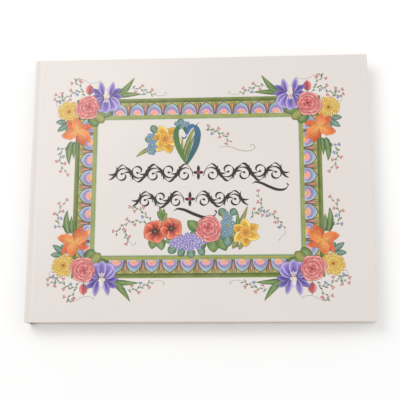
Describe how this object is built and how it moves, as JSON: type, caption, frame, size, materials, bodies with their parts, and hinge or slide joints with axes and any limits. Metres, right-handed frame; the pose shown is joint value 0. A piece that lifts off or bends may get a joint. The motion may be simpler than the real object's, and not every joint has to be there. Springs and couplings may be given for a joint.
{
  "type": "wedding guest book",
  "caption": "Landscape hardcover guest book with a flat spine, floral printed cover, sewn sections, endpapers and leaves that turn as the cover opens.",
  "frame": {"origin": "centre of the closed book's footprint, on the surface that the back cover rests on", "axes": "+Z from the back cover up to the front cover, +X from the spine to the fore edge, +Y from tail to head"},
  "size_m": [0.286, 0.227, 0.0175],
  "materials": {
    "printed_paper": "gloss film over white printed paper",
    "grey_board": "plain grey binder's board",
    "endpaper": "smooth uncoated paper",
    "page_paper": "smooth uncoated paper",
    "kraft_paper": "brown kraft paper",
    "mull_cloth": "open-weave cotton",
    "linen_tape": "woven linen",
    "linen_thread": "waxed thread",
    "band_silk": "woven silk band"
  },
  "bodies": {
    "book_block": {"spine_paper": "printed_paper", "spine_board": "grey_board", "front_joint_paper": "printed_paper", "back_joint_paper": "printed_paper", "front_endpaper_hinge": "endpaper", "back_endpaper_hinge": "endpaper", "spine_lining": "kraft_paper", "mull": "mull_cloth", "sewing_tapes": "linen_tape", "sewing_thread": "linen_thread", "headband": "band_silk", "tailband": "band_silk", "section_1": "page_paper", "section_2": "page_paper", "section_3": "page_paper", "section_4": "page_paper", "section_5": "page_paper"},
    "front_cover": {"front_cover_paper": "printed_paper", "front_board": "grey_board", "front_pastedown": "endpaper", "front_mull_flange": "mull_cloth"},
    "back_cover": {"back_cover_paper": "printed_paper", "back_board": "grey_board", "back_pastedown": "endpaper", "back_mull_flange": "mull_cloth"},
    "front_flyleaf_body": {"front_flyleaf": "endpaper"},
    "leaf_1_body": {"leaf_1": "page_paper"},
    "leaf_2_body": {"leaf_2": "page_paper"},
    "leaf_3_body": {"leaf_3": "page_paper"},
    "leaf_4_body": {"leaf_4": "page_paper"},
    "back_flyleaf_body": {"back_flyleaf": "endpaper"}
  },
  "joints": [
    {"name": "front_cover_hinge", "type": "hinge", "parent": "book_block", "child": "front_cover", "pos_m": [-0.1394, 0, 0.016], "axis": [0, -1, 0], "range_deg": [0, 180], "deforming": ["front_joint_paper", "front_endpaper_hinge"]},
    {"name": "back_cover_hinge", "type": "hinge", "parent": "book_block", "child": "back_cover", "pos_m": [-0.1394, 0, 0.0015], "axis": [0, 1, 0], "range_deg": [0, 180], "deforming": ["back_joint_paper", "back_endpaper_hinge"]},
    {"name": "front_flyleaf_hinge", "type": "hinge", "parent": "book_block", "child": "front_flyleaf_body", "pos_m": [-0.1394, 0, 0.016], "axis": [0, -1, 0], "range_deg": [0, 178.2]},
    {"name": "leaf_1_hinge", "type": "hinge", "parent": "book_block", "child": "leaf_1_body", "pos_m": [-0.1394, 0, 0.016], "axis": [0, -1, 0], "range_deg": [0, 172.8]},
    {"name": "leaf_2_hinge", "type": "hinge", "parent": "book_block", "child": "leaf_2_body", "pos_m": [-0.1394, 0, 0.016], "axis": [0, -1, 0], "range_deg": [0, 162]},
    {"name": "leaf_3_hinge", "type": "hinge", "parent": "book_block", "child": "leaf_3_body", "pos_m": [-0.1394, 0, 0.016], "axis": [0, -1, 0], "range_deg": [0, 136.8]},
    {"name": "leaf_4_hinge", "type": "hinge", "parent": "book_block", "child": "leaf_4_body", "pos_m": [-0.1394, 0, 0.016], "axis": [0, -1, 0], "range_deg": [0, 90]},
    {"name": "back_flyleaf_hinge", "type": "hinge", "parent": "book_block", "child": "back_flyleaf_body", "pos_m": [-0.1394, 0, 0.0015], "axis": [0, 1, 0], "range_deg": [0, 178.2]}
  ],
  "couplings": [
    {"joint": "front_flyleaf_hinge", "follows": "front_cover_hinge", "ratio": 0.99},
    {"joint": "leaf_1_hinge", "follows": "front_cover_hinge", "ratio": 0.96},
    {"joint": "leaf_2_hinge", "follows": "front_cover_hinge", "ratio": 0.9},
    {"joint": "leaf_3_hinge", "follows": "front_cover_hinge", "ratio": 0.76},
    {"joint": "leaf_4_hinge", "follows": "front_cover_hinge", "ratio": 0.5},
    {"joint": "back_flyleaf_hinge", "follows": "back_cover_hinge", "ratio": 0.99}
  ]
}
